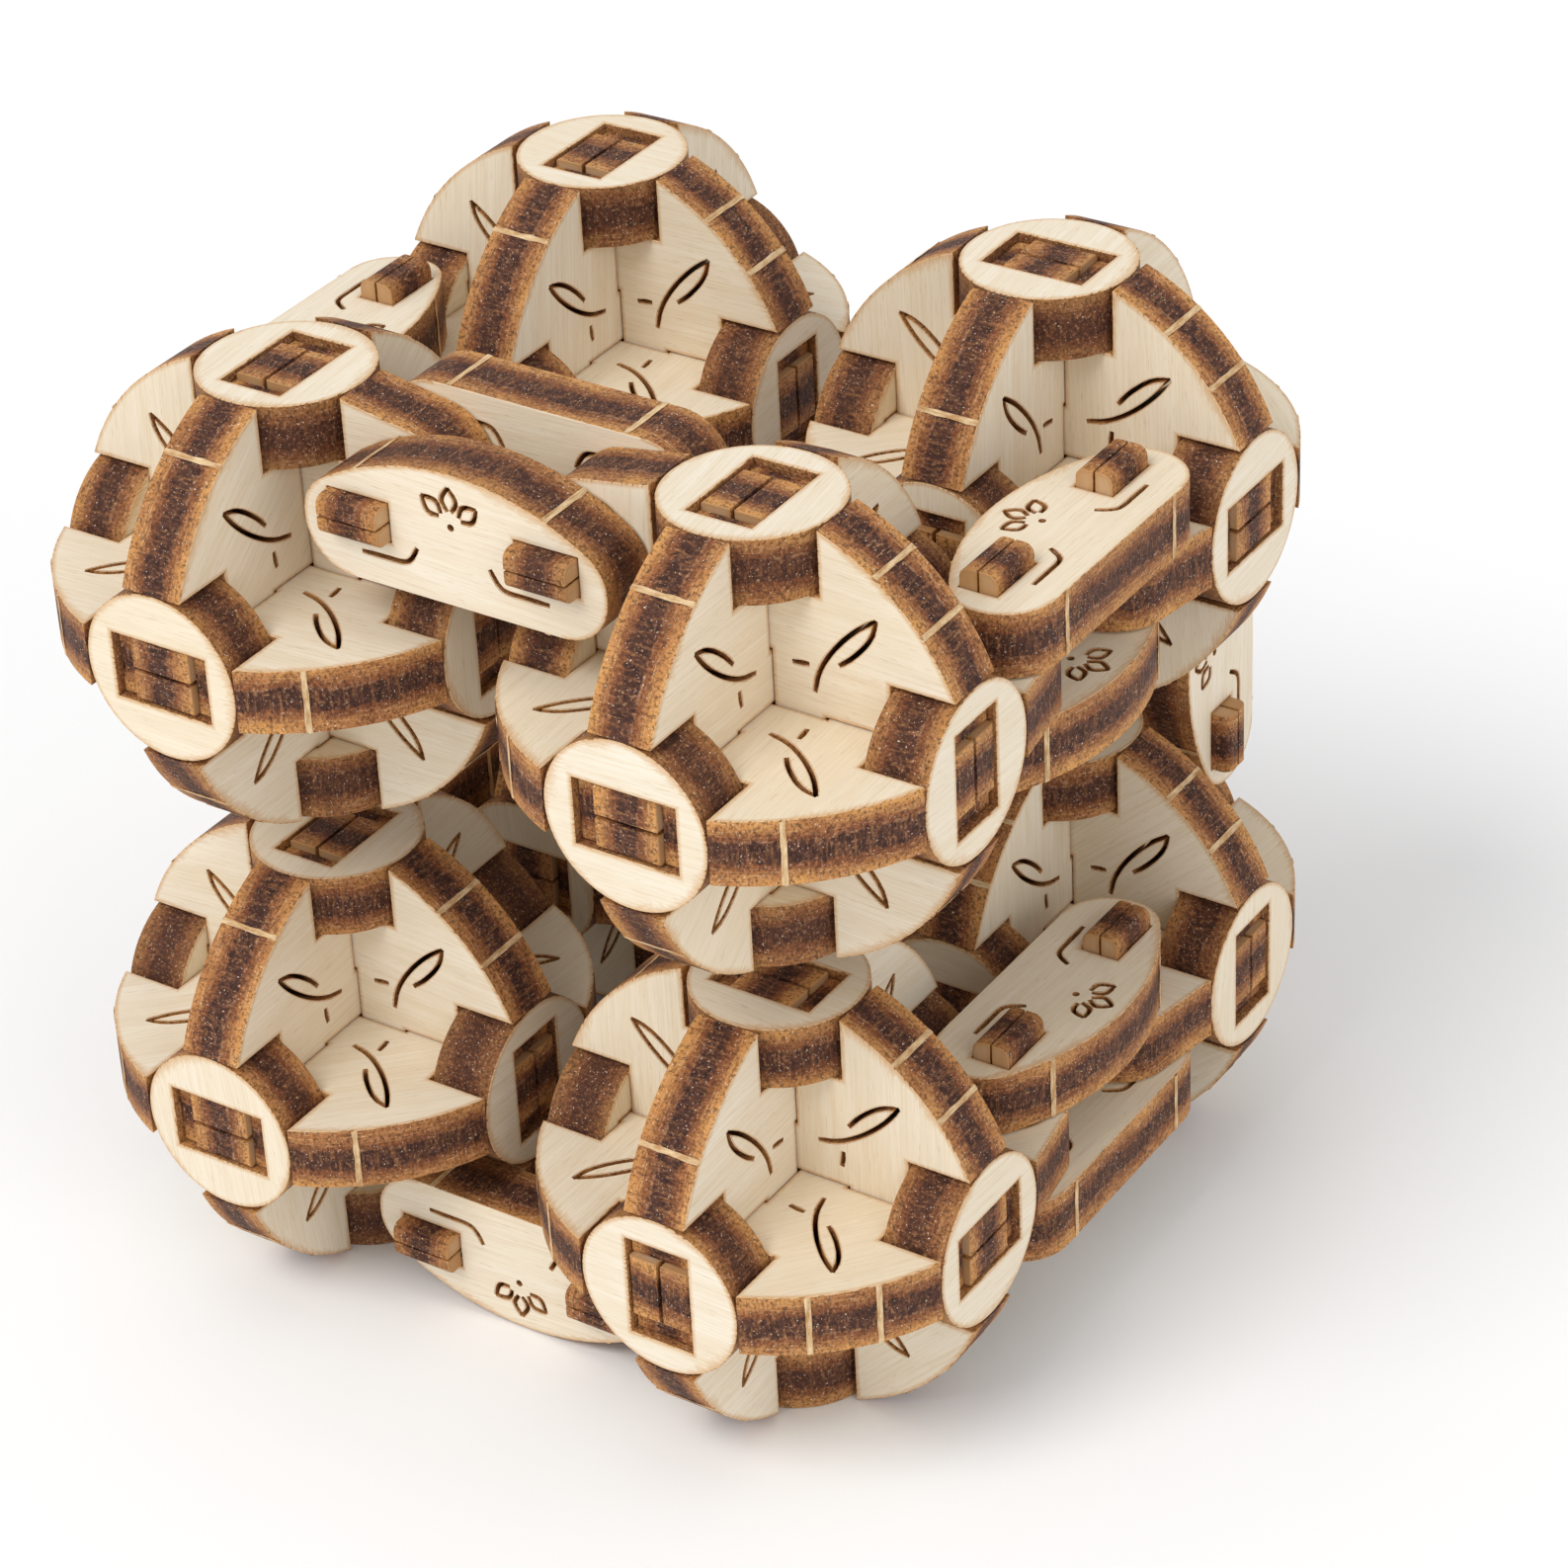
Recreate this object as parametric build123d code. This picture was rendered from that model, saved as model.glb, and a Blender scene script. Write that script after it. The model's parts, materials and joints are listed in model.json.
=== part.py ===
from build123d import *

import os
from math import asin, cos, hypot, sin, sqrt

# Folding plywood cube: eight open "balls" at the corners of a 2 x 2 x 2 block, joined in one closed
# loop by eight double-pin links. Millimetres, +Z up, origin under the centre of the closed cube.

# --- driving dimensions -------------------------------------------------------------------------
PLY = 3.0                # sheet thickness of every piece
PIN_OFFSET = 6.9         # pin centre from its ball's centre, along both axes of its plate
PIN_PITCH = 9.3          # distance between the two pins of a link
BALL_PITCH = 2 * PIN_OFFSET + PIN_PITCH
CAP_FACE = 10.0          # ball centre to the outer face of a cap
CAP_DIAMETER = 7.7
FIT = 0.05               # gap at each side of a tongue in a slot, from the laser's cut

LAP_DEPTH = 4.0          # where crossing plates change over, from the ball's centre
PRONG_SLIT = 0.2         # slit between the two prongs of a pole
PRONG_SHORT = 0.1        # prong tips lie this far under the cap's face
PRONG_ROUND = 0.2
TAB_WIDTH = 1.6 * PLY    # slotted tab beside the prongs, as wide as the cap's hole is long
TAB_SHORT = 0.45         # tab tips lie this far under the cap's face

PIN_HEIGHT = 1.75        # pin section across the link; along the link it is one ply
PIN_PROUD = 0.9          # pin ends beyond the link plates
PIN_SLIT = 0.1
PIN_SLIT_DEPTH = 3.4
PIN_ROUND = 0.45
PIN_RUNNING = 0.06       # radial play of a pin in its ear
EAR_RADIUS = 2.5
EAR_PLAY = 0.1           # play between an ear and each link plate

LENS_END = 2.85          # link plate beyond its pin centres
LENS_FLAT = 3.05         # straight side from the pin line
LENS_ARCH = 3.05         # crown of the arched side from the pin line
LENS_ARCH_RADIUS = 12.1
LENS_FLAT_CORNER = 2.3
LENS_ARCH_CORNER = 2.0

HALF = PLY / 2
BALL_RADIUS = hypot(CAP_FACE, CAP_DIAMETER / 2)
EAR_HOLE = hypot(HALF, PIN_HEIGHT / 2) + PIN_RUNNING
SEAT = CAP_FACE - PLY    # ball centre to the inner face of a cap
BIG = 4 * CAP_FACE

AXES = {"x": (1, 0, 0), "y": (0, 1, 0), "z": (0, 0, 1)}

# Each ball: sides of the cube it stands on, its weave, and its two ears as plate + quadrant signs.
# Weave 1 sends the xy plate's prongs to the x poles, yz to y and zx to z; weave 2 the other way.
BALLS = {
    "upper_front_left": ((-1, -1, 1), 1, {"zx": (1, 1), "xy": (-1, 1)}),
    "upper_front_right": ((1, -1, 1), 1, {"zx": (1, -1), "xy": (1, 1)}),
    "upper_back_right": ((1, 1, 1), 2, {"xy": (1, -1), "yz": (1, -1)}),
    "upper_back_left": ((-1, 1, 1), 1, {"xy": (-1, -1), "yz": (1, -1)}),
    "lower_front_left": ((-1, -1, -1), 1, {"zx": (-1, 1), "xy": (-1, 1)}),
    "lower_front_right": ((1, -1, -1), 2, {"zx": (-1, -1), "xy": (1, 1)}),
    "lower_back_right": ((1, 1, -1), 1, {"xy": (1, -1), "yz": (1, 1)}),
    "lower_back_left": ((-1, 1, -1), 1, {"xy": (-1, -1), "yz": (1, 1)}),
}

# Each link: sides it stands on, long axis, outward axis and its sign, and 1 where the plate on the
# side of (long axis x outward axis) has its arched edge outward, -1 where it is the other plate.
LINKS = {
    "link_upper_front": ((0, -1, 1), "x", "z", 1, 1),
    "link_lower_front": ((0, -1, -1), "x", "z", -1, 1),
    "link_upper_right": ((1, 0, 1), "y", "x", 1, 1),
    "link_lower_right": ((1, 0, -1), "y", "x", 1, -1),
    "link_upper_left": ((-1, 0, 1), "y", "x", -1, 1),
    "link_lower_left": ((-1, 0, -1), "y", "x", -1, -1),
    "link_back_right": ((1, 1, 0), "z", "y", 1, 1),
    "link_back_left": ((-1, 1, 0), "z", "y", 1, -1),
}


def centre(sides):
    """Ball or link centre from its signs, in the cube's frame."""
    x, y, z = (s * BALL_PITCH / 2 for s in sides)
    return Vector(x, y, z + BALL_PITCH / 2 + CAP_FACE)


def box2d(u0, u1, v0, v1):
    """Rectangle between two corners of the sheet's own plane."""
    face = Rectangle(u1 - u0, v1 - v0)
    return Pos((u0 + u1) / 2, (v0 + v1) / 2) * face


def ear2d(su, sv):
    """Ear round the pin hole, flaring from the rims of the two nearest caps."""
    rim = CAP_DIAMETER / 2 + 2 * FIT
    tip = CAP_FACE - PRONG_SHORT
    disc = Pos(PIN_OFFSET, PIN_OFFSET) * Circle(EAR_RADIUS)
    # Tangent point on the ear's circle of the line from the cap rim corner.
    du, dv = PIN_OFFSET - rim, PIN_OFFSET - tip
    reach = hypot(du, dv)
    turn = asin(EAR_RADIUS / reach)
    aim = asin(dv / reach) + turn
    run = sqrt(reach**2 - EAR_RADIUS**2)
    tu, tv = rim + run * cos(aim), tip + run * sin(aim)
    skirt = Polygon(
        (0, 0), (rim, 0), (tip, rim), (tv, tu), (PIN_OFFSET, PIN_OFFSET), (tu, tv), (rim, tip), (0, rim),
        align=None,
    )
    ear = disc + skirt
    if su < 0:
        ear = mirror(ear, about=Plane.YZ)
    if sv < 0:
        ear = mirror(ear, about=Plane.XZ)
    return ear


def half_plate(side, ears):
    """One half of a plate, v > 0 times side. The prongs lie along u, the slotted tab along v."""
    face = Circle(BALL_RADIUS)
    for su, sv in ears:
        face = face + ear2d(su, sv)
    # Keep this side of the slit, then step back where the plate across the split stands.
    v0, v1 = sorted((side * PRONG_SLIT / 2, side * BIG))
    face = face & box2d(-BIG, BIG, v0, v1)
    face -= box2d(-LAP_DEPTH - FIT, LAP_DEPTH + FIT, -HALF - FIT, HALF + FIT)
    rim = CAP_DIAMETER / 2 + FIT
    for end in (1, -1):
        inner, outer = sorted((end * SEAT, end * BIG))
        face -= box2d(inner, outer, -rim, rim)
    inner, outer = sorted((side * SEAT, side * BIG))
    face -= box2d(-rim, rim, inner, outer)
    # Prongs through the two caps on the u axis, domed at their outer corners.
    for end in (1, -1):
        u0, u1 = sorted((end * (SEAT - 0.5), end * (CAP_FACE - PRONG_SHORT)))
        v0, v1 = sorted((side * PRONG_SLIT / 2, side * HALF))
        prong = box2d(u0, u1, v0, v1)
        tip = [v for v in prong.vertices() if abs(v.X) > SEAT + 1 and abs(v.Y) > HALF - 0.1]
        face += fillet(tip, PRONG_ROUND)
    # Slotted tab through the cap on the v axis.
    v0, v1 = sorted((side * (SEAT - 0.5), side * (CAP_FACE - TAB_SHORT)))
    face += box2d(-TAB_WIDTH / 2, TAB_WIDTH / 2, v0, v1)
    v0, v1 = sorted((side * (LAP_DEPTH - FIT), side * BIG))
    face -= box2d(-HALF - FIT, HALF + FIT, v0, v1)
    for su, sv in ears:
        face -= Pos(su * PIN_OFFSET, sv * PIN_OFFSET) * Circle(EAR_HOLE)
    return extrude(face, HALF, both=True)


def place(u, v, origin):
    """Location that lays a sheet's u and v along two axes of the cube."""
    return Plane(origin=origin, x_dir=AXES[u], z_dir=Vector(*AXES[u]).cross(Vector(*AXES[v])))


def plate_pair(plate, weave, ear, origin):
    """Both halves of one plate of a ball, in place."""
    first, second = plate
    u, v = (first, second) if weave == 1 else (second, first)
    signs = None
    if ear:
        signs = ear if weave == 1 else (ear[1], ear[0])
    frame = place(u, v, origin)
    halves = []
    for side in (1, -1):
        ears = [signs] if signs and signs[1] == side else []
        halves.append(frame * half_plate(side, ears))
    return halves


def cap(axis, sign, weave, origin):
    """Round cap with its rectangular hole, in place on one pole."""
    # In weave 1 the prong plate of x is xy, so the hole's long side follows the third axis, z.
    long_axis = {"x": "z", "y": "x", "z": "y"}[axis] if weave == 1 else {"x": "y", "y": "z", "z": "x"}[axis]
    disc = Circle(CAP_DIAMETER / 2) - Rectangle(TAB_WIDTH + 2 * FIT, PLY + 2 * FIT)
    start = Vector(*AXES[axis]) * (sign * (SEAT + HALF))
    frame = Plane(origin=origin + start, x_dir=AXES[long_axis], z_dir=AXES[axis])
    return frame * extrude(disc, HALF - FIT / 2, both=True)


def lens(arch):
    """Link plate in its own plane: pins along x, the arched side towards arch."""
    half = PIN_PITCH / 2 + LENS_END
    face = Pos(0, LENS_ARCH - LENS_ARCH_RADIUS) * Circle(LENS_ARCH_RADIUS)
    face = face & box2d(-half, half, -LENS_FLAT, BIG)
    low = [v for v in face.vertices() if v.Y < -LENS_FLAT + 0.1]
    face = fillet(low, LENS_FLAT_CORNER)
    high = [v for v in face.vertices() if v.Y > -0.2 and abs(v.X) > half - 0.05]
    face = fillet(high, LENS_ARCH_CORNER)
    for end in (1, -1):
        face -= Pos(end * PIN_PITCH / 2, 0) * Rectangle(PLY + 2 * FIT, PIN_HEIGHT + 2 * FIT)
    if arch < 0:
        face = mirror(face, about=Plane.XZ)
    return extrude(face, PLY)


def pin():
    """Split snap pin, its length along z, one ply along x, slit from both ends."""
    reach = HALF + EAR_PLAY + PLY + PIN_PROUD
    face = Rectangle(PIN_HEIGHT, 2 * reach)
    face = fillet(face.vertices(), PIN_ROUND)
    for end in (1, -1):
        v0, v1 = sorted((end * (reach - PIN_SLIT_DEPTH), end * BIG))
        face -= box2d(-PIN_SLIT / 2, PIN_SLIT / 2, v0, v1)
    return Plane(origin=(0, 0, 0), x_dir=(0, 1, 0), z_dir=(1, 0, 0)) * extrude(face, HALF, both=True)


def link(spec):
    """Two lens plates and two pins, in place."""
    sides, along, outward, out_sign, arch = spec
    origin = centre(sides) + Vector(*AXES[outward]) * (out_sign * PIN_OFFSET)
    frame = place(along, outward, origin)
    level = HALF + EAR_PLAY
    front = frame * (Pos(0, 0, level) * lens(out_sign * arch))
    back = frame * (Pos(0, 0, -level - PLY) * lens(-out_sign * arch))
    pins = [frame * (Pos(end * PIN_PITCH / 2, 0, 0) * pin()) for end in (1, -1)]
    return front, back, pins


def write(name, solids):
    """One STEP file for a node, holding its loose pieces."""
    pieces = [s for shape in solids for s in shape.solids()]
    shape = Compound(children=pieces) if len(pieces) > 1 else pieces[0]
    shape.label = name
    export_step(shape, os.path.join("parts", name + ".step"))


os.makedirs("parts", exist_ok=True)

for ball, (sides, weave, ears) in BALLS.items():
    origin = centre(sides)
    for plate in ("xy", "yz", "zx"):
        write(f"{ball}_{plate}", plate_pair(plate, weave, ears.get(plate), origin))
    write(f"{ball}_caps", [cap(axis, sign, weave, origin) for axis in "xyz" for sign in (1, -1)])

for name, spec in LINKS.items():
    front, back, pins = link(spec)
    write(f"{name}_plate_a", [front])
    write(f"{name}_plate_b", [back])
    write(f"{name}_pins", pins)
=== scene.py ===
import json
import math
import random

import bpy
from mathutils import Matrix, Vector


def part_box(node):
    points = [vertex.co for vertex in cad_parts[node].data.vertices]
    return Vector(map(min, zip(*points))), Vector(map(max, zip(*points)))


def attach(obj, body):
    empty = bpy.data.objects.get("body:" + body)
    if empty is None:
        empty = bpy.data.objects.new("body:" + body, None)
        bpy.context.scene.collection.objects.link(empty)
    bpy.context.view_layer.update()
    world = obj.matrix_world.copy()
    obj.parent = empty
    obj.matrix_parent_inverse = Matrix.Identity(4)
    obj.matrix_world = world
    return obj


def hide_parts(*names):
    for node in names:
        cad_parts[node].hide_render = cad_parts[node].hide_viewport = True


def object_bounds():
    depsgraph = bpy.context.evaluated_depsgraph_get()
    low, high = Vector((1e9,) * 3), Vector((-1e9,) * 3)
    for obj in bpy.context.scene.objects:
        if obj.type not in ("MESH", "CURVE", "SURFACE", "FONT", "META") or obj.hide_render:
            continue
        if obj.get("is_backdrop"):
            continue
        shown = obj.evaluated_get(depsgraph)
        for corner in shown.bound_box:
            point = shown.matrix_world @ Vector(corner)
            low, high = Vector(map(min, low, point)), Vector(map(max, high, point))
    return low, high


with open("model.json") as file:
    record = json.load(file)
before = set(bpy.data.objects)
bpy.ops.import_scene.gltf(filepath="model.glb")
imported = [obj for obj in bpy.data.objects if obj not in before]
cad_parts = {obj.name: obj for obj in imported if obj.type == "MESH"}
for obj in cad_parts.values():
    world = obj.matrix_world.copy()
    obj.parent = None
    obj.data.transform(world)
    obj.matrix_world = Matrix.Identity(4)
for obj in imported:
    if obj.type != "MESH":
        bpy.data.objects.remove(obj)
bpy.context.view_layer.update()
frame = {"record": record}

# Everything on the bench is in millimetres, one sheet thickness lying flat; MM brings a piece to its place.
MM = 0.001
PLY = 3.0
EASE = 0.03               # how far a face stands above its softened rim
# Rings inward from a face's outline: width, lift, and the scorch left inside it.
RIM_STEPS = ((0.04, EASE, 0.9), (0.05, 0, 0.7), (0.05, 0, 0.48), (0.05, 0, 0.28), (0.05, 0, 0.12), (0.05, 0, 0.0))
RIM_MERGE = 0.085

# Ball plates
BALL_RADIUS = math.hypot(10.0, 3.85)
SLIT_HALF = 0.1
LAP_U, LAP_V = 4.05, 1.55
SEAT = 7.0
CAP_NOTCH = 3.9
PRONG_TOP, PRONG_SIDE, PRONG_ROUND = 9.9, 1.5, 0.2
TAB_HALF, TAB_TOP = 2.4, 9.55
TAB_SLOT_HALF, TAB_SLOT_FROM = 1.55, 3.95
PIN_OFFSET = 6.9
EAR_RADIUS, EAR_HOLE = 2.5, 1.797
EAR_FLARE = (3.95, 9.9)

# Caps
CAP_RADIUS = 3.85
CAP_THICK = 2.95
CAP_MIDDLE = 8.5
CAP_HOLE = (4.9, 3.1)

# Link plates and pins
LENS_ARCH_RADIUS, LENS_CROWN = 12.1, 3.05
LENS_ARCH_CORNER = (2.0, 5.5, -0.579, 1.098)      # radius, centre x, centre y, where the arch takes over
LENS_FLAT_CORNER = (2.3, 5.2, -0.75)              # radius, centre x, centre y
LENS_MIDDLE = 3.1
PIN_SPACING = 4.65
PIN_HOLE = (3.1, 1.85)
PIN_HALF_WIDTH, PIN_REACH, PIN_ROUND = 0.875, 5.5, 0.45
PIN_SLIT_HALF, PIN_SLIT_FROM = 0.05, 2.1

# Laser lines, each a run of points along one stroke
LEAF = (
    ((2.6, 3.5), (3.3, 3.62), (4.1, 3.97), (5.0, 4.6), (5.8, 5.35), (6.3, 5.95), (6.66, 6.5)),
    ((6.7, 6.47), (6.1, 6.36), (5.5, 6.05), (4.9, 5.55), (4.45, 5.1), (4.14, 4.68)),
    ((3.72, 2.5), (3.8, 2.9), (3.82, 3.3)),
)
HOOKS = (
    ((-4.66, -1.68), (-3.5, -1.66), (-2.6, -1.68), (-2.15, -1.5), (-1.8, -0.8)),
    ((4.66, -1.68), (3.5, -1.66), (2.6, -1.68), (2.15, -1.5), (1.8, -0.8)),
)
STROKE_WIDTH = 0.21
RIM_WIDTH = 0.32
RIM_DEPTH = 0.02
THROUGH = 1.0             # how far a saw stands past a face

# Snapped tabs across the sawn edges
SPRUE_WIDTH, SPRUE_PROUD, SPRUE_ROUGH = 0.26, 0.04, 0.035
FAR = 1000.0              # a straight side is as good as an arc of this radius
FLAT_SPRUE = 4.4          # the tabs' places along the lens plate's flat side

BALLS = {
    "upper_front_left": (1, {"zx": (1, 1), "xy": (-1, 1)}),
    "upper_front_right": (1, {"zx": (1, -1), "xy": (1, 1)}),
    "upper_back_right": (2, {"xy": (1, -1), "yz": (1, -1)}),
    "upper_back_left": (1, {"xy": (-1, -1), "yz": (1, -1)}),
    "lower_front_left": (1, {"zx": (-1, 1), "xy": (-1, 1)}),
    "lower_front_right": (2, {"zx": (-1, -1), "xy": (1, 1)}),
    "lower_back_right": (1, {"xy": (1, -1), "yz": (1, 1)}),
    "lower_back_left": (1, {"xy": (-1, -1), "yz": (1, 1)}),
}
LINKS = {
    "link_upper_front": ("x", "z", 1, 1),
    "link_lower_front": ("x", "z", -1, 1),
    "link_upper_right": ("y", "x", 1, 1),
    "link_lower_right": ("y", "x", 1, -1),
    "link_upper_left": ("y", "x", -1, 1),
    "link_lower_left": ("y", "x", -1, -1),
    "link_back_right": ("z", "y", 1, 1),
    "link_back_left": ("z", "y", 1, -1),
}
AXES = {"x": Vector((1, 0, 0)), "y": Vector((0, 1, 0)), "z": Vector((0, 0, 1))}
CAP_LONG = ({"x": "z", "y": "x", "z": "y"}, {"x": "y", "y": "z", "z": "x"})

# The last slot is veneer with painted shade, for flats that stand inside the caps or between the plates.
VENEER, CHAR, SNAPPED, SHADED_FLAT = 0, 1, 2, 3      # material slots of every wooden piece
rng = random.Random(7)


# ---------------------------------------------------------------- bench tools

def deselect():
    bpy.ops.object.select_all(action="DESELECT")


def take(piece):
    deselect()
    piece.select_set(True)
    bpy.context.view_layer.objects.active = piece


def block(x0, x1, y0, y1, z0=-4.0, z1=4.0):
    deselect()
    bpy.ops.mesh.primitive_cube_add(
        size=1, location=((x0 + x1) / 2, (y0 + y1) / 2, (z0 + z1) / 2), scale=(x1 - x0, y1 - y0, z1 - z0)
    )
    bpy.ops.object.transform_apply(location=True, rotation=True, scale=True)
    return bpy.context.object


def disc(x, y, radius, thick, sides):
    deselect()
    bpy.ops.mesh.primitive_cylinder_add(vertices=sides, radius=radius, depth=thick, location=(x, y, 0))
    bpy.ops.object.transform_apply(location=True, rotation=True, scale=True)
    return bpy.context.object


def join(pieces):
    take(pieces[0])
    for p in pieces[1:]:
        p.select_set(True)
    bpy.ops.object.join()
    return bpy.context.object


def cut(piece, tool, operation="DIFFERENCE"):
    take(piece)
    saw = piece.modifiers.new("saw", "BOOLEAN")
    saw.operation, saw.solver, saw.object, saw.use_self = operation, "EXACT", tool, True
    bpy.ops.object.modifier_apply(modifier=saw.name)
    bpy.data.objects.remove(tool, do_unlink=True)


def pick(piece, kind, test):
    """Opens the piece in edit mode with just the faces or edges that pass the test selected."""
    take(piece)
    bpy.ops.object.mode_set(mode="EDIT")
    bpy.ops.mesh.select_mode(type="FACE" if kind == "polygons" else "EDGE")
    bpy.ops.mesh.select_all(action="DESELECT")
    bpy.ops.object.mode_set(mode="OBJECT")
    count = 0
    for part in getattr(piece.data, kind):
        if test(part):
            part.select = True
            count += 1
    bpy.ops.object.mode_set(mode="EDIT")
    return count


def close_edit():
    bpy.ops.object.mode_set(mode="OBJECT")


def hull(pieces):
    """One convex block round the pieces, its two flats each one face."""
    piece = join(pieces)
    bpy.ops.object.mode_set(mode="EDIT")
    bpy.ops.mesh.select_all(action="SELECT")
    bpy.ops.mesh.convex_hull()
    close_edit()
    for up in (1, -1):
        pick(piece, "polygons", lambda f: f.normal.z * up > 0.99)
        bpy.ops.mesh.dissolve_faces()
        close_edit()
    return piece


def upright_edges(piece, x, y):
    """Selects the edges through the thickness that stand at this place."""
    verts = piece.data.vertices

    def there(e):
        a, b = (verts[i].co for i in e.vertices)
        return all(abs(c.x - x) < 0.02 and abs(c.y - y) < 0.02 for c in (a, b)) and abs(a.z - b.z) > 0.5

    return pick(piece, "edges", there)


def round_corner(piece, x, y, radius, steps=6):
    if upright_edges(piece, x, y):
        bpy.ops.mesh.bevel(offset=radius, segments=steps, affect="EDGES", clamp_overlap=False)
    close_edit()


# ---------------------------------------------------------------- laser work

def stroke(points, width, z0, z1):
    """A thin upright wall along a curve, tapering at both ends, to saw one laser line with."""
    deselect()
    bpy.ops.curve.primitive_nurbs_path_add(location=(0, 0, 0))
    path = bpy.context.object
    line = path.data
    line.dimensions = "2D"
    line.fill_mode = "NONE"
    line.splines.clear()
    spline = line.splines.new("NURBS")
    spline.points.add(len(points) - 1)
    for point, (x, y) in zip(spline.points, points):
        point.co = (x, y, 0, 1)
    spline.order_u = 3
    spline.use_endpoint_u = True
    spline.resolution_u = 3
    line.extrude = (z1 - z0) / 2
    bpy.ops.object.convert(target="MESH")
    wall = bpy.context.object
    bpy.ops.object.mode_set(mode="EDIT")
    bpy.ops.mesh.select_all(action="SELECT")
    bpy.ops.transform.translate(value=(0, 0, (z0 + z1) / 2))
    close_edit()
    ends = (Vector(points[0]), Vector(points[-1]))
    group = wall.vertex_groups.new(name="stroke")
    for v in wall.data.vertices:
        near = min((v.co.xy - e).length for e in ends)
        group.add([v.index], min(1.0, 0.72 + near * 0.9), "REPLACE")
    thicken = wall.modifiers.new("thicken", "SOLIDIFY")
    thicken.thickness, thicken.offset, thicken.use_even_offset = width, 0, True
    thicken.vertex_group = "stroke"
    bpy.ops.object.modifier_apply(modifier=thicken.name)
    return wall


def laser_lines(piece, runs, dots=(), thick=PLY):
    """Through lines with a shallow scorched rim on both faces."""
    half = thick / 2
    shallow = ((half - RIM_DEPTH, half + THROUGH), (-half - THROUGH, RIM_DEPTH - half))
    rims = [stroke(run, RIM_WIDTH, z0, z1) for run in runs for z0, z1 in shallow]
    cut(piece, join(rims))
    lines = [stroke(run, STROKE_WIDTH, -half - THROUGH, half + THROUGH) for run in runs]
    cut(piece, join(lines + [disc(x, y, radius, thick + 2, 12) for x, y, radius in dots]))
    close_gaps(piece)


def close_gaps(piece):
    """Fills any small facet the saw left out of a side, and turns every face outward."""
    take(piece)
    bpy.ops.object.mode_set(mode="EDIT")
    bpy.ops.mesh.select_all(action="SELECT")
    bpy.ops.mesh.fill_holes(sides=12)
    bpy.ops.mesh.normals_make_consistent(inside=False)
    close_edit()


def gap_to(point, run):
    best = 9.0
    for a, b in zip(run, run[1:]):
        a, b = Vector(a), Vector(b)
        along = b - a
        t = max(0.0, min(1.0, (point - a).dot(along) / along.length_squared))
        best = min(best, (point - a - along * t).length)
    return best


def clean_outline(piece):
    """Merges what the saw left doubled and makes each flat as few faces as it can be."""
    take(piece)
    bpy.ops.object.mode_set(mode="EDIT")
    bpy.ops.mesh.select_all(action="SELECT")
    bpy.ops.mesh.remove_doubles(threshold=0.01)
    bpy.ops.mesh.dissolve_degenerate(threshold=0.005)
    bpy.ops.mesh.dissolve_limited(angle_limit=math.radians(0.5))
    close_edit()


def finish_rims(piece, thick=PLY):
    """Softens the faces' rims and writes how scorched each ring is."""
    clean_outline(piece)
    scorch = piece.data.attributes.new("scorch", "FLOAT", "POINT")
    for d in scorch.data:
        d.value = 1.0
    surface = thick / 2 - EASE - 0.01
    for width, lift, left in RIM_STEPS:
        pick(piece, "polygons", lambda f: abs(f.normal.z) > 0.99 and abs(f.center.z) > surface and f.area > 0.5)
        bpy.ops.mesh.inset(thickness=width, depth=lift, use_boundary=True, use_even_offset=True)
        bpy.ops.mesh.remove_doubles(threshold=RIM_MERGE)
        close_edit()
        values = piece.data.attributes["scorch"].data
        for v in piece.data.vertices:
            if v.select:
                values[v.index].value = left


def burn_lines(piece, runs, thick=PLY):
    """Scorch along the laser lines, on the floors of their shallow rims."""
    values = piece.data.attributes["scorch"].data
    floor = thick / 2 - RIM_DEPTH
    for v in piece.data.vertices:
        if abs(abs(v.co.z) - floor) < 0.006:
            gap = min(gap_to(v.co.xy, run) for run in runs)
            values[v.index].value = 1.0 if gap < STROKE_WIDTH * 0.62 else 0.35


def sprues(piece, centre, radius, angles, reach=1.0):
    """Pale snapped tabs across an edge: a narrow strip scored out, drawn proud and roughened.

    The reach is how far along the edge the faces to be scored may have their middles.
    """
    centre = Vector(centre)
    for seed, angle in enumerate(angles):
        turn = math.radians(angle)
        out, along = Vector((math.cos(turn), math.sin(turn))), Vector((-math.sin(turn), math.cos(turn)))

        def strip(f, most):
            away = f.center.xy - centre
            on_side = abs(f.normal.z) < 0.1 and abs(away.length - radius) < 0.06
            return on_side and away.dot(out) > 0 and abs(away.dot(along)) < most

        for side in (1, -1):
            pick(piece, "polygons", lambda f: strip(f, reach))
            spot = centre + out * radius + along * (side * SPRUE_WIDTH / 2)
            bpy.ops.mesh.bisect(plane_co=(spot.x, spot.y, 0), plane_no=(along.x, along.y, 0), threshold=1e-5)
            close_edit()
        if pick(piece, "polygons", lambda f: strip(f, SPRUE_WIDTH / 2)):
            bpy.ops.mesh.extrude_region_shrink_fatten(TRANSFORM_OT_shrink_fatten={"value": SPRUE_PROUD})
            piece.active_material_index = SNAPPED
            bpy.ops.object.material_slot_assign()
            bpy.ops.mesh.subdivide(number_cuts=5)
            bpy.ops.transform.vertex_random(offset=SPRUE_ROUGH, seed=seed + 3)
        close_edit()


def sort_faces(piece, thick, flat=VENEER):
    """Flats are veneer and everything sawn through is char, unless it is a snapped tab."""
    for f in piece.data.polygons:
        if f.material_index != SNAPPED:
            f.material_index = flat if abs(f.normal.z) > 0.45 and abs(f.center.z) > thick / 2 - 0.1 else CHAR


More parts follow.
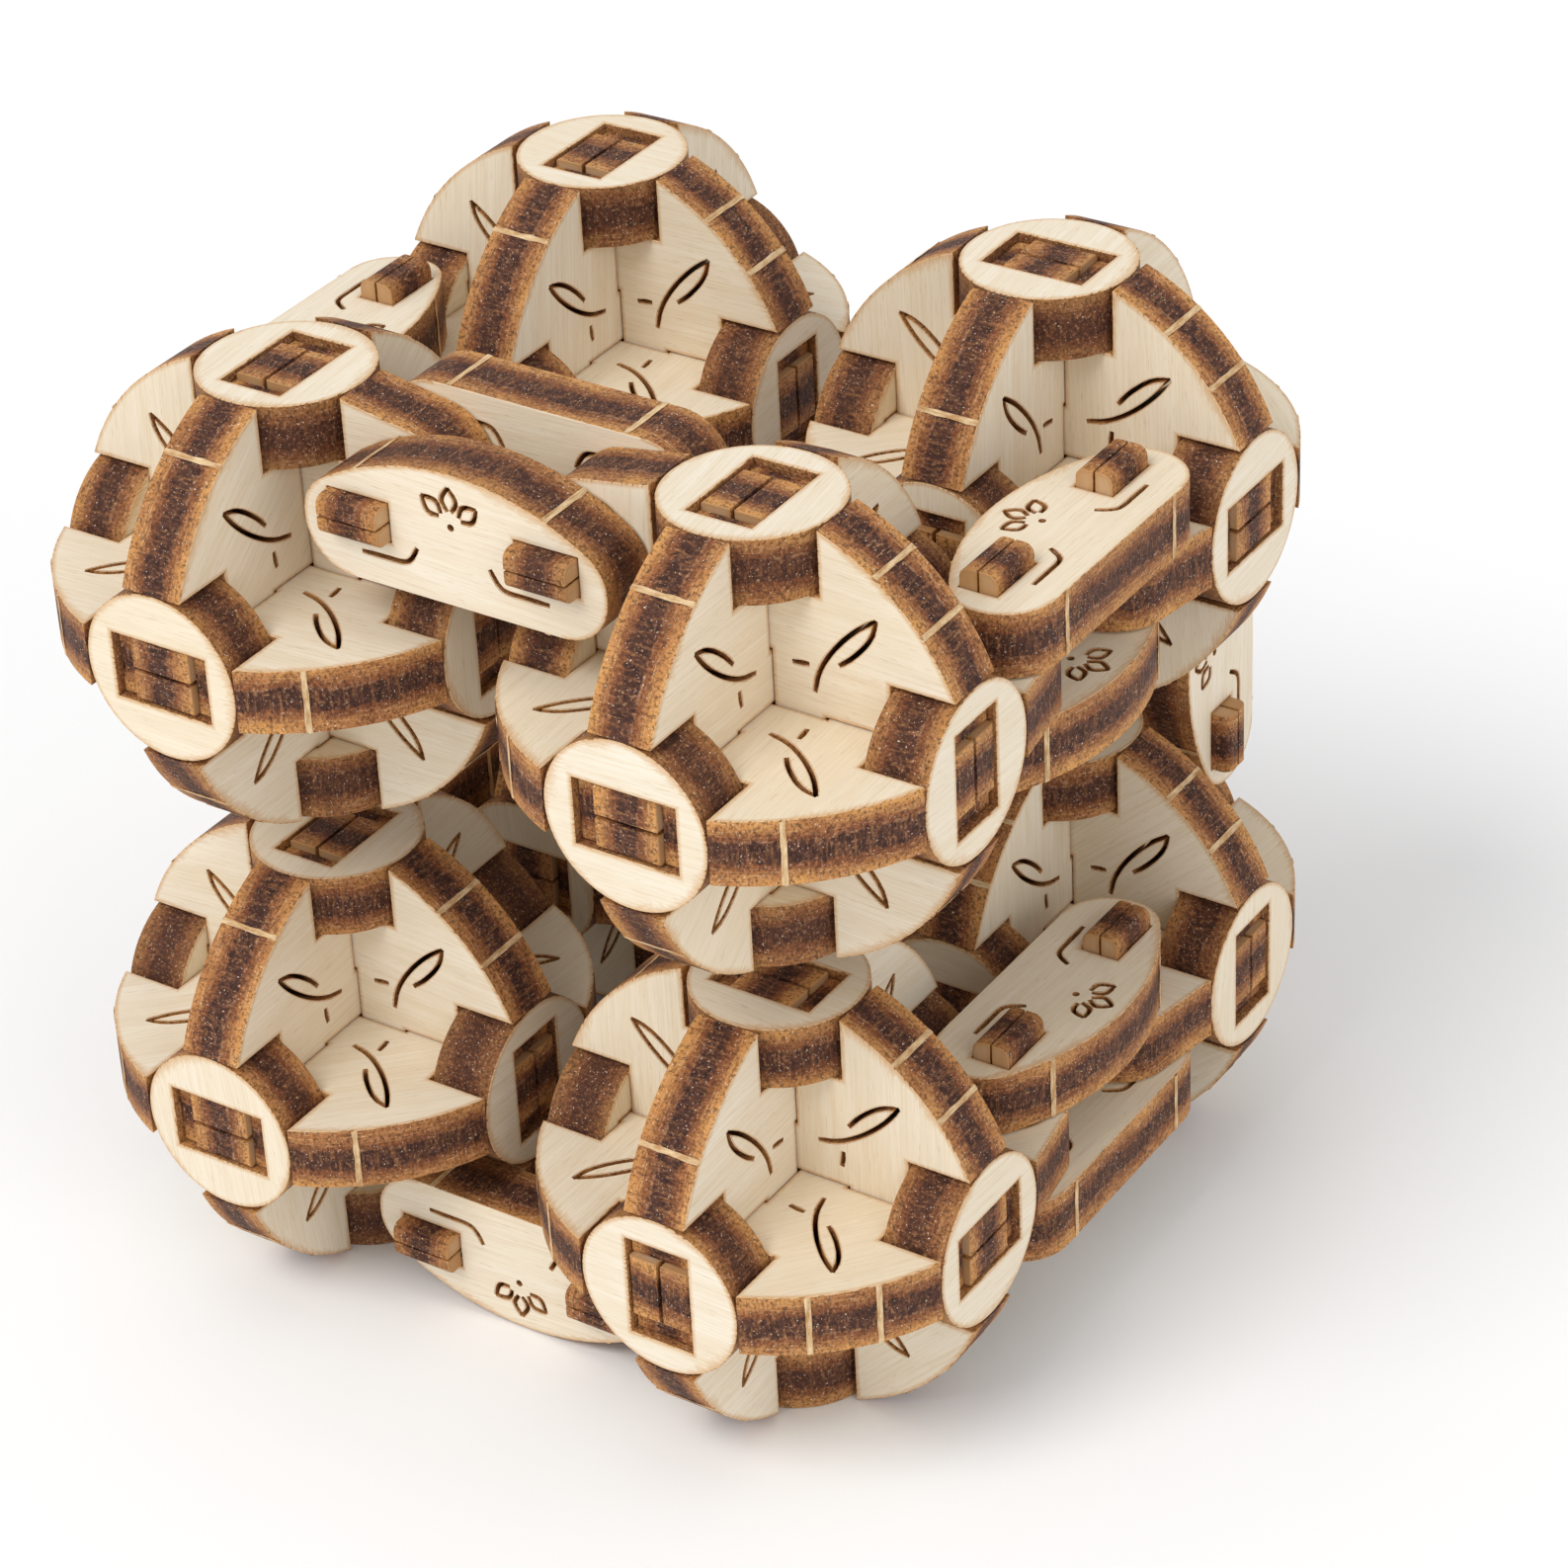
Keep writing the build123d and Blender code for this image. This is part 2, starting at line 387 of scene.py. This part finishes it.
def split_and_shade_flats(piece):
    """Scores the flats where the caps sit, and gives the prongs and tab that stand inside them painted shade: a
    darker, browner veneer.
    """
    for plane_co, plane_no in (((SEAT, 0, 0), (1, 0, 0)), ((-SEAT, 0, 0), (1, 0, 0)), ((0, SEAT, 0), (0, 1, 0))):
        pick(piece, "polygons", lambda f: abs(f.normal.z) > 0.45)
        bpy.ops.mesh.bisect(plane_co=plane_co, plane_no=plane_no, threshold=1e-5)
        close_edit()
    # Veneer inside a cap's seat gets the painted shade.
    for f in piece.data.polygons:
        x, y = abs(f.center.x), f.center.y
        inside_cap = (x > SEAT and y < PRONG_SIDE) or (y > SEAT and x < TAB_HALF)
        if f.material_index == VENEER and inside_cap:
            f.material_index = SHADED_FLAT


# ---------------------------------------------------------------- finishes

def new_finish(name):
    mat = bpy.data.materials.new(name)
    mat.use_nodes = True
    tree = mat.node_tree
    return mat, tree, tree.nodes["Principled BSDF"]


def node(tree, kind, inputs=None, **values):
    n = tree.nodes.new(kind)
    for key, value in values.items():
        setattr(n, key, value)
    for key, value in (inputs or {}).items():
        if isinstance(value, bpy.types.NodeSocket):
            tree.links.new(value, n.inputs[key])
        else:
            n.inputs[key].default_value = value
    return n


def read(tree, name):
    return node(tree, "ShaderNodeAttribute", attribute_name=name)


def noise(tree, vector, stretch, detail=2.0, rough=0.5, shift=(0, 0, 0)):
    mapped = node(tree, "ShaderNodeMapping", {"Vector": vector, "Scale": stretch, "Location": shift})
    inputs = {"Vector": mapped.outputs[0], "Scale": 1.0, "Detail": detail, "Roughness": rough}
    return node(tree, "ShaderNodeTexNoise", inputs).outputs[0]


def span(tree, value, a, b, c=0.0, d=1.0):
    return node(
        tree, "ShaderNodeMapRange", {"Value": value, "From Min": a, "From Max": b, "To Min": c, "To Max": d}
    ).outputs[0]


def maths(tree, operation, a, b=0.0):
    n = tree.nodes.new("ShaderNodeMath")
    n.operation = operation
    for socket, value in zip(n.inputs, (a, b)):
        if isinstance(value, bpy.types.NodeSocket):
            tree.links.new(value, socket)
        else:
            socket.default_value = value
    return n.outputs[0]


def blend(tree, factor, a, b, mode="MIX"):
    n = tree.nodes.new("ShaderNodeMix")
    n.data_type, n.blend_type = "RGBA", mode
    for socket, value in zip((n.inputs[0], n.inputs[6], n.inputs[7]), (factor, a, b)):
        if isinstance(value, bpy.types.NodeSocket):
            tree.links.new(value, socket)
        else:
            socket.default_value = (*value, 1) if isinstance(value, tuple) else value
    return n.outputs[2]


def birch_veneer(name, inside_shade=0.0):
    mat, tree, shader = new_finish(name)
    board = read(tree, "board").outputs["Vector"]
    tone = read(tree, "tone").outputs["Fac"]
    scorch = read(tree, "scorch").outputs["Fac"]
    rim = node(tree, "ShaderNodeSeparateXYZ", {0: read(tree, "rim").outputs["Vector"]})
    fine = noise(tree, board, (0.35, 13.0, 1.0), 3, 0.65)
    broad = noise(tree, board, (0.06, 1.6, 0.3), 2, 0.5, (9, 3, 1))
    pores = noise(tree, board, (1.1, 15.0, 1.0), 1, 0.5, (4, 8, 2))
    cloud = noise(tree, board, (0.30, 0.45, 0.35), 2, 0.6, (2, 5, 7))
    light = blend(tree, span(tree, broad, 0.32, 0.68), (0.80, 0.70, 0.545), (0.855, 0.78, 0.655))
    base = blend(tree, span(tree, tone, -1, 1, 0.0, 0.5), light, (0.82, 0.69, 0.50))
    lined = blend(tree, span(tree, fine, 0.44, 0.72, 0.0, 0.6), base, (0.69, 0.55, 0.37))
    flecked = blend(tree, span(tree, pores, 0.67, 0.77, 0.0, 0.42), lined, (0.50, 0.36, 0.21))
    clouded = blend(tree, span(tree, cloud, 0.55, 0.8, 0.0, 0.3), flecked, (0.72, 0.57, 0.37))
    # Distance in from the round outline, where the laser's heat reached furthest.
    across = maths(tree, "POWER", rim.outputs[0], 2.0)
    up = maths(tree, "POWER", rim.outputs[1], 2.0)
    inward = maths(tree, "SUBTRACT", rim.outputs[2], maths(tree, "SQRT", maths(tree, "ADD", across, up)))
    fibre = noise(tree, board, (2.0, 8.0, 2.0), 3, 0.7, (1, 1, 5))
    patch = noise(tree, board, (0.30, 0.30, 0.30), 1, 0.5, (7, 1, 3))
    ragged = span(tree, fibre, 0.3, 0.75, 0.14, 0.85)
    reach = maths(tree, "MULTIPLY", ragged, span(tree, patch, 0.38, 0.64, 0.12, 1.3))
    glow = span(tree, maths(tree, "DIVIDE", inward, reach), 0.15, 1.0, 0.65, 0.0)
    heat = maths(tree, "MULTIPLY", scorch, span(tree, fibre, 0.3, 0.7, 0.5, 1.12))
    gold = blend(tree, span(tree, maths(tree, "MAXIMUM", glow, heat), 0.12, 0.95), clouded, (0.60, 0.33, 0.12))
    burnt = blend(tree, span(tree, heat, 0.80, 1.0), gold, (0.20, 0.08, 0.03))
    # Painted shade: a darker brown, in clouds, over veneer that stands inside other pieces.
    painted_inside_shade = blend(tree, span(tree, cloud, 0.3, 0.7, inside_shade, inside_shade * 1.4), burnt, (0.46, 0.24, 0.09))
    tree.links.new(painted_inside_shade if inside_shade else burnt, shader.inputs["Base Color"])
    tree.links.new(span(tree, fine, 0.3, 0.7, 0.52, 0.66), shader.inputs["Roughness"])
    shader.inputs["Specular IOR Level"].default_value = 0.3
    height = maths(tree, "ADD", maths(tree, "MULTIPLY", fine, 0.6), maths(tree, "MULTIPLY", pores, 0.4))
    bump = node(tree, "ShaderNodeBump", {"Height": height, "Strength": 0.4, "Distance": 0.00004})
    tree.links.new(bump.outputs[0], shader.inputs["Normal"])
    return mat


def charred_edge():
    mat, tree, shader = new_finish("charred_edge")
    board = read(tree, "board").outputs["Vector"]
    # Per-piece darkening of the sawn sides: partly real variation in burn, partly painted shade, strongest on the
    # caps.
    char_and_shade = read(tree, "char_and_shade").outputs["Fac"]
    layer = node(tree, "ShaderNodeSeparateXYZ", {0: board}).outputs[2]
    wander = noise(tree, board, (0.22, 0.22, 0.1), 2, 0.6, (3, 9, 4))
    ragged = noise(tree, board, (2.5, 2.5, 2.5), 3, 0.7, (2, 2, 6))
    streak = noise(tree, board, (7.0, 7.0, 1.3), 2, 0.6)
    pits = noise(tree, board, (7.5, 7.5, 6.0), 3, 0.7, (5, 5, 5))
    painted_glints = noise(tree, board, (11.0, 11.0, 11.0), 1, 0.5, (1, 7, 3))
    patch = noise(tree, board, (0.35, 0.35, 0.25), 2, 0.6, (6, 2, 8))
    inner = maths(tree, "ADD", layer, span(tree, wander, 0.3, 0.7, -0.2, 0.2))
    depth = maths(tree, "ADD", maths(tree, "ABSOLUTE", inner), span(tree, ragged, 0.25, 0.75, -0.16, 0.16))
    ply = blend(tree, span(tree, depth, 0.6, 1.2), (0.20, 0.066, 0.026), (0.36, 0.135, 0.047))
    amber = maths(tree, "MULTIPLY", span(tree, depth, 0.80, 1.40), span(tree, patch, 0.34, 0.60, 0.12, 1.0))
    outer = blend(tree, amber, ply, (0.70, 0.34, 0.10))
    core = blend(tree, span(tree, ragged, 0.35, 0.65), (0.032, 0.012, 0.009), (0.115, 0.044, 0.028))
    bands = blend(tree, span(tree, depth, 0.42, 0.56), core, outer)
    off_seam = maths(tree, "ABSOLUTE", maths(tree, "SUBTRACT", inner, 0.52))
    seam = maths(tree, "MULTIPLY", span(tree, off_seam, 0.10, 0.02), span(tree, ragged, 0.46, 0.62, 0.0, 0.40))
    glued = blend(tree, seam, bands, (0.55, 0.36, 0.21))
    along = noise(tree, board, (0.9, 0.9, 13.0), 2, 0.65, (4, 4, 4))
    lines = maths(tree, "MULTIPLY", span(tree, along, 0.51, 0.63, 0.0, 0.72), span(tree, depth, 0.6, 1.0))
    lined = blend(tree, lines, glued, (0.68, 0.37, 0.15))
    worn = blend(tree, span(tree, streak, 0.50, 0.72, 0.0, 0.45), lined, (0.50, 0.215, 0.08))
    # Darkens the char by that level; the high level on the caps is painted shade.
    dark = blend(tree, char_and_shade, worn, (0.11, 0.040, 0.020))
    shaded = blend(tree, span(tree, char_and_shade, 0.1, 1.0, 0.0, 0.75), worn, dark)
    pitted = blend(tree, span(tree, pits, 0.52, 0.36, 0.0, 0.72), shaded, (0.035, 0.013, 0.009))
    raised = blend(tree, span(tree, pits, 0.57, 0.72, 0.0, 0.52), pitted, (0.66, 0.36, 0.18))
    # Painted highlights: pale glint flecks put into the char's colour.
    painted_sparkle = blend(tree, span(tree, painted_glints, 0.70, 0.75, 0.0, 0.85), raised, (0.84, 0.70, 0.56))
    tree.links.new(painted_sparkle, shader.inputs["Base Color"])
    tree.links.new(span(tree, pits, 0.3, 0.7, 0.50, 0.80), shader.inputs["Roughness"])
    shader.inputs["Specular IOR Level"].default_value = 0.2
    furrows = maths(tree, "MULTIPLY", maths(tree, "ADD", streak, along), 0.5)
    height = maths(tree, "ADD", furrows, maths(tree, "MULTIPLY", pits, 0.7))
    bump = node(tree, "ShaderNodeBump", {"Height": height, "Strength": 0.8, "Distance": 0.0001})
    tree.links.new(bump.outputs[0], shader.inputs["Normal"])
    return mat


def snapped_wood():
    mat, tree, shader = new_finish("snapped_wood")
    board = read(tree, "board").outputs["Vector"]
    fibre = noise(tree, board, (4.0, 4.0, 1.2), 3, 0.7, (8, 8, 1))
    colour = blend(tree, span(tree, fibre, 0.35, 0.65), (0.48, 0.26, 0.10), (0.78, 0.59, 0.35))
    tree.links.new(colour, shader.inputs["Base Color"])
    shader.inputs["Roughness"].default_value = 0.8
    bump = node(tree, "ShaderNodeBump", {"Height": fibre, "Strength": 0.8, "Distance": 0.0001})
    tree.links.new(bump.outputs[0], shader.inputs["Normal"])
    return mat


FINISHES = (birch_veneer("birch_veneer"), charred_edge(), snapped_wood(), birch_veneer("veneer_painted_shade", 0.7))


def give_finishes(piece):
    piece.data.materials.clear()
    for mat in FINISHES:
        piece.data.materials.append(mat)
    for f in piece.data.polygons:
        f.material_index = CHAR


# ---------------------------------------------------------------- the five wooden patterns

def saw_half_disc(piece):
    """The cuts every half plate has: split, centre lap, seats for the caps, prongs and slotted tab."""
    take(piece)
    bpy.ops.object.mode_set(mode="EDIT")
    bpy.ops.mesh.select_all(action="SELECT")
    bpy.ops.mesh.bisect(plane_co=(0, SLIT_HALF, 0), plane_no=(0, 1, 0), use_fill=True, clear_inner=True)
    close_edit()
    far = 14.0
    cut(piece, block(-LAP_U, LAP_U, -1, LAP_V))
    for side in (1, -1):
        a, b = sorted((side * SEAT, side * far))
        cut(piece, block(a, b, PRONG_SIDE, CAP_NOTCH))
        a, b = sorted((side * PRONG_TOP, side * far))
        cut(piece, block(a, b, -1, PRONG_SIDE + 0.5))
        a, b = sorted((side * TAB_HALF, side * CAP_NOTCH))
        cut(piece, block(a, b, SEAT, far))
        round_corner(piece, side * PRONG_TOP, PRONG_SIDE, PRONG_ROUND)
    cut(piece, block(-TAB_HALF - 0.5, TAB_HALF + 0.5, TAB_TOP, far))
    cut(piece, block(-TAB_SLOT_HALF, TAB_SLOT_HALF, TAB_SLOT_FROM, far))


def half_plate(with_ear):
    piece = disc(0, 0, BALL_RADIUS, PLY - 2 * EASE, 160)
    if with_ear:
        a, b = EAR_FLARE
        posts = [disc(x, y, 0.02, PLY - 2 * EASE, 4) for x, y in ((a, b), (b, a), (3, 3))]
        cut(piece, hull([disc(PIN_OFFSET, PIN_OFFSET, EAR_RADIUS, PLY - 2 * EASE, 64), *posts]), "UNION")
    give_finishes(piece)
    saw_half_disc(piece)
    if with_ear:
        cut(piece, disc(PIN_OFFSET, PIN_OFFSET, EAR_HOLE, 8, 48))
    finish_rims(piece)
    # Each open quadrant carries a leaf; an ear takes the place of one.
    quadrants = (-1,) if with_ear else (1, -1)
    runs = [tuple((q * x, y) for x, y in run) for q in quadrants for run in LEAF]
    laser_lines(piece, runs)
    burn_lines(piece, runs)
    sprues(piece, (0, 0), BALL_RADIUS, [127, 143] if with_ear else [37, 53, 127])
    sort_faces(piece, PLY)
    split_and_shade_flats(piece)
    return piece


def cap_disc():
    piece = disc(0, 0, CAP_RADIUS, CAP_THICK - 2 * EASE, 96)
    give_finishes(piece)
    x, y = (v / 2 for v in CAP_HOLE)
    cut(piece, block(-x, x, -y, y))
    finish_rims(piece, thick=CAP_THICK)
    sort_faces(piece, CAP_THICK)
    return piece


def petals():
    """Three small pointed petals fanned over a dot."""
    runs = []
    for turn in (38, 90, 142):
        lean = math.radians(turn)
        out, side = Vector((math.cos(lean), math.sin(lean))), Vector((-math.sin(lean), math.cos(lean)))
        for hand in (1, -1):
            shape = ((0.62, 0.08), (0.95, 0.36), (1.3, 0.34), (1.72, -0.02))
            runs.append(tuple(tuple(out * r + side * (hand * w) + Vector((0, 0.72))) for r, w in shape))
    return runs


def lens_plate():
    thick = PLY - 2 * EASE
    centre = LENS_CROWN - LENS_ARCH_RADIUS
    crown = disc(0, centre, LENS_ARCH_RADIUS, thick, 320)
    radius, x, y, arch_from = LENS_ARCH_CORNER
    bpy.ops.object.mode_set(mode="EDIT")
    bpy.ops.mesh.select_all(action="SELECT")
    bpy.ops.mesh.bisect(plane_co=(0, arch_from, 0), plane_no=(0, 1, 0), use_fill=True, clear_inner=True)
    close_edit()
    corners = [disc(s * x, y, radius, thick, 64) for s in (1, -1)]
    radius, x, y = LENS_FLAT_CORNER
    corners += [disc(s * x, y, radius, thick, 64) for s in (1, -1)]
    piece = hull([crown, *corners])
    give_finishes(piece)
    half_x, half_y = (v / 2 for v in PIN_HOLE)
    for s in (1, -1):
        cut(piece, block(s * PIN_SPACING - half_x, s * PIN_SPACING + half_x, -half_y, half_y))
    finish_rims(piece)
    runs = [*HOOKS, *petals()]
    laser_lines(piece, runs, [(0, 0.62, 0.17)])
    burn_lines(piece, runs)
    sprues(piece, (0, centre), LENS_ARCH_RADIUS, [90 - 22.5, 90 + 22.5])
    swing = math.degrees(FLAT_SPRUE / FAR)
    sprues(piece, (0, FAR - LENS_CROWN), FAR, [-90 - swing, -90 + swing], 9.0)
    sort_faces(piece, PLY)
    return piece


def snap_pin():
    piece = block(-PIN_HALF_WIDTH, PIN_HALF_WIDTH, -PIN_REACH, PIN_REACH, -PLY / 2 + EASE, PLY / 2 - EASE)
    give_finishes(piece)
    for x in (1, -1):
        for y in (1, -1):
            round_corner(piece, x * PIN_HALF_WIDTH, y * PIN_REACH, PIN_ROUND, 5)
    for y in (1, -1):
        a, b = sorted((y * PIN_SLIT_FROM, y * 8))
        cut(piece, block(-PIN_SLIT_HALF, PIN_SLIT_HALF, a, b))
    finish_rims(piece)
    # The pin's flats stand between the plates and all get the veneer with painted shade.
    sort_faces(piece, PLY, SHADED_FLAT)
    return piece


# ---------------------------------------------------------------- setting the pieces in place

def turned(x, y, z, origin):
    """Bench axes laid along three axes of the cube, at a place in metres."""
    m = Matrix.Identity(4)
    for column, axis in enumerate((x, y, z)):
        for row in range(3):
            m[row][column] = axis[row] * MM
    return Matrix.Translation(origin) @ m


def grain_marks(piece, angle, char_and_shade, round_centre=None):
    """Writes where each point lies in its own board, so that the grain follows the piece."""
    mesh = piece.data
    a = math.radians(angle)
    shift = Vector((rng.uniform(0, 400), rng.uniform(0, 400)))
    shade = rng.uniform(-1, 1)
    for name, kind in (("board", "FLOAT_VECTOR"), ("rim", "FLOAT_VECTOR"), ("tone", "FLOAT"), ("char_and_shade", "FLOAT")):
        mesh.attributes.new(name, kind, "POINT")
    board, rim, tone, char_and_shade_values = (mesh.attributes[name].data for name in ("board", "rim", "tone", "char_and_shade"))
    # Each piece's edge darkness: its pattern's level, spread at random as real burn varies; the caps' high level is
    # painted shade.
    char_and_shade_level = min(1.0, max(0.0, char_and_shade + rng.uniform(-0.22, 0.22)))
    cx, cy, radius = round_centre or (0, 0, 90)
    for v in mesh.vertices:
        x, y, z = v.co
        board[v.index].vector = (
            x * math.cos(a) + y * math.sin(a) + shift.x, y * math.cos(a) - x * math.sin(a) + shift.y, z)
        rim[v.index].vector = (x - cx, y - cy, radius)
        tone[v.index].value = shade
        char_and_shade_values[v.index].value = char_and_shade_level


def lay(pattern, where, angle, char_and_shade, round_centre=None):
    piece = pattern.copy()
    piece.data = pattern.data.copy()
    bpy.context.scene.collection.objects.link(piece)
    grain_marks(piece, angle, char_and_shade, round_centre)
    piece.data.transform(where)
    return piece


def stand_in(pieces, name, cad_node):
    piece = join(pieces) if len(pieces) > 1 else pieces[0]
    piece.name = piece.data.name = name
    take(piece)
    bpy.ops.object.shade_smooth_by_angle(angle=math.radians(30))
    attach(piece, body_of[cad_node])
    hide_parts(cad_node)
    return piece


body_of = {n: body for body, names in frame["record"]["behaviour"]["bodies"].items() for n in names}

plain_half, ear_half = half_plate(False), half_plate(True)
cap_pattern, lens_pattern, pin_pattern = cap_disc(), lens_plate(), snap_pin()
patterns = (plain_half, ear_half, cap_pattern, lens_pattern, pin_pattern)


def middle(cad_node):
    low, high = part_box(cad_node)
    return (low + high) / 2


for ball, (weave, ears) in BALLS.items():
    origin = middle(f"{ball}_caps")
    for plate in ("xy", "yz", "zx"):
        first, second = plate if weave == 1 else plate[::-1]
        u, v = AXES[first], AXES[second]
        w = u.cross(v)
        ear = ears.get(plate)
        if ear and weave == 2:
            ear = ear[::-1]
        halves = []
        for side in (1, -1):
            angle = rng.choice((0, 90, 90, 45)) + rng.uniform(-6, 6)
            if ear and ear[1] == side:
                # The bench ear stands at +u, +v; a half turn brings it to any other corner.
                turns = {(1, 1): (u, v, w), (-1, 1): (-u, v, -w), (-1, -1): (-u, -v, w), (1, -1): (u, -v, -w)}
                halves.append(lay(ear_half, turned(*turns[ear], origin), angle, 0.3))
            else:
                halves.append(lay(plain_half, turned(u * side, v * side, w, origin), angle, 0.3, (0, 0, BALL_RADIUS)))
        stand_in(halves, f"{ball}_{plate}_split_plate", f"{ball}_{plate}")
    caps = []
    for name, axis in AXES.items():
        long_axis = AXES[CAP_LONG[weave - 1][name]]
        for sign in (1, -1):
            place = turned(long_axis, axis.cross(long_axis), axis, origin + axis * (sign * CAP_MIDDLE * MM))
            # The caps' sawn sides get the darkest edges, painted shade for sides that stand in shade.
            caps.append(lay(cap_pattern, place, rng.choice((0, 90)) + rng.uniform(-8, 8), 0.75, (0, 0, CAP_RADIUS)))
    stand_in(caps, f"{ball}_cap_discs", f"{ball}_caps")

arch_centre = (0, LENS_CROWN - LENS_ARCH_RADIUS, LENS_ARCH_RADIUS)
for link, (along, outward, out_sign, arch) in LINKS.items():
    x, y = AXES[along], AXES[outward]
    z = x.cross(y)
    origin = middle(f"{link}_pins")
    for letter, side in (("a", 1), ("b", -1)):
        up = side * out_sign * arch
        place = turned(x * up, y * up, z, origin + z * (side * LENS_MIDDLE * MM))
        plate = lay(lens_pattern, place, rng.uniform(-4, 4), 0.5, arch_centre)
        stand_in([plate], f"{link}_lens_{letter}", f"{link}_plate_{letter}")
    pins = []
    for end in (1, -1):
        # The pin's sheet stands on edge: its width along the outward axis, its length along the hinge.
        place = turned(y, z, y.cross(z), origin + x * (end * PIN_SPACING * MM))
        pins.append(lay(pin_pattern, place, 90 + rng.uniform(-3, 3), 0.5))
    stand_in(pins, f"{link}_snap_pins", f"{link}_pins")

for pattern in patterns:
    bpy.data.objects.remove(pattern, do_unlink=True)


# ---------------------------------------------------------------- studio

def studio():
    low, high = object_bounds()
    centre = (low + high) / 2
    size = (high - low).length
    deselect()
    bpy.ops.mesh.primitive_plane_add(size=size * 40, location=(centre.x, centre.y, low.z))
    floor = bpy.context.object
    floor.name = "floor"
    bpy.ops.object.transform_apply(location=True, rotation=True, scale=True)
    mat, tree, shader = new_finish("pale_floor")
    shader.inputs["Base Color"].default_value = (0.955, 0.96, 0.97, 1)
    shader.inputs["Roughness"].default_value = 0.9
    shader.inputs["Specular IOR Level"].default_value = 0.1
    floor.data.materials.append(mat)
    floor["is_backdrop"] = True

    def lamp(name, azimuth, elevation, distance, width, power, colour=(1, 1, 1)):
        a, e = math.radians(azimuth), math.radians(elevation)
        aim = Vector((math.sin(a) * math.cos(e), -math.cos(a) * math.cos(e), math.sin(e)))
        deselect()
        bpy.ops.object.light_add(type="AREA", location=centre + aim * distance)
        light = bpy.context.object
        light.name = name
        light.rotation_euler = aim.to_track_quat("Z", "Y").to_euler()
        light.data.shape = "DISK"
        light.data.size = width
        light.data.energy = power
        light.data.color = colour

    lamp("key_light", -18, 50, 1.60, 0.90, 12.4, (1.0, 0.99, 0.97))
    lamp("side_fill", 68, 24, 0.90, 0.60, 1.3)

    world = bpy.data.worlds.new("studio")
    world.use_nodes = True
    background = world.node_tree.nodes["Background"]
    background.inputs["Color"].default_value = (1.0, 1.0, 1.0, 1)
    background.inputs["Strength"].default_value = 0.71
    bpy.context.scene.world = world

    deselect()
    bpy.ops.object.camera_add(location=(0.10752, -0.15070, 0.13679))
    camera = bpy.context.object
    camera.name = "camera"
    right = Vector((0.84015, 0.54059, -0.04368))
    back = Vector((0.48037, -0.70434, 0.52264))
    camera.rotation_euler = Matrix((right, back.cross(right), back)).transposed().to_euler()
    camera.data.sensor_width = 36
    camera.data.lens = 113.15
    camera.data.shift_x = -0.0014
    camera.data.shift_y = -0.0499
    camera.data.clip_start = 0.01
    bpy.context.scene.camera = camera
    bpy.context.scene.view_settings.view_transform = "Standard"


studio()
